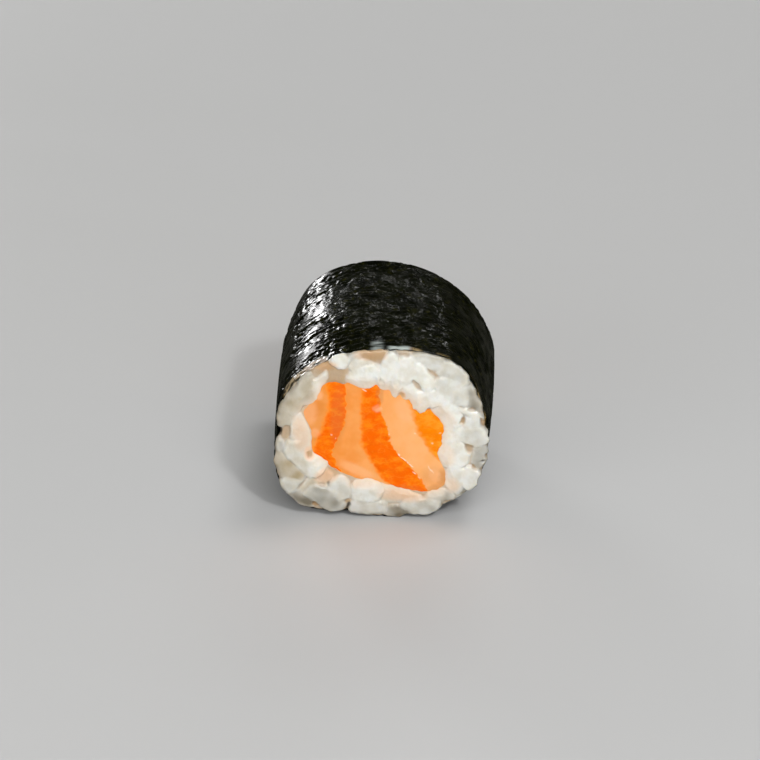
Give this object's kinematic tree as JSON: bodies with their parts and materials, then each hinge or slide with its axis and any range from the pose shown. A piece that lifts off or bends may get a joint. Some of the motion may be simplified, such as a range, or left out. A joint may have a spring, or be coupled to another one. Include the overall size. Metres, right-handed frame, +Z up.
{
  "type": "salmon hosomaki",
  "caption": "Short round sushi roll lying on its side: a sheet of nori round a ring of rice grains, with a strip of banded salmon through the middle.",
  "frame": {"origin": "on the surface that the piece lies on, below the middle of its bounding box", "axes": "+X across the roll from left to right, +Y along the roll from the front cut face to the back one, +Z up"},
  "size_m": [0.0294, 0.0286, 0.0252],
  "materials": {
    "nori": "thin, dry and crinkled, with a sheen",
    "rice": "moist and slightly translucent",
    "salmon": "raw, moist and translucent, in orange and pale bands"
  },
  "bodies": {
    "root": {"nori": "nori", "rice": "rice", "salmon": "salmon"}
  },
  "joints": []
}
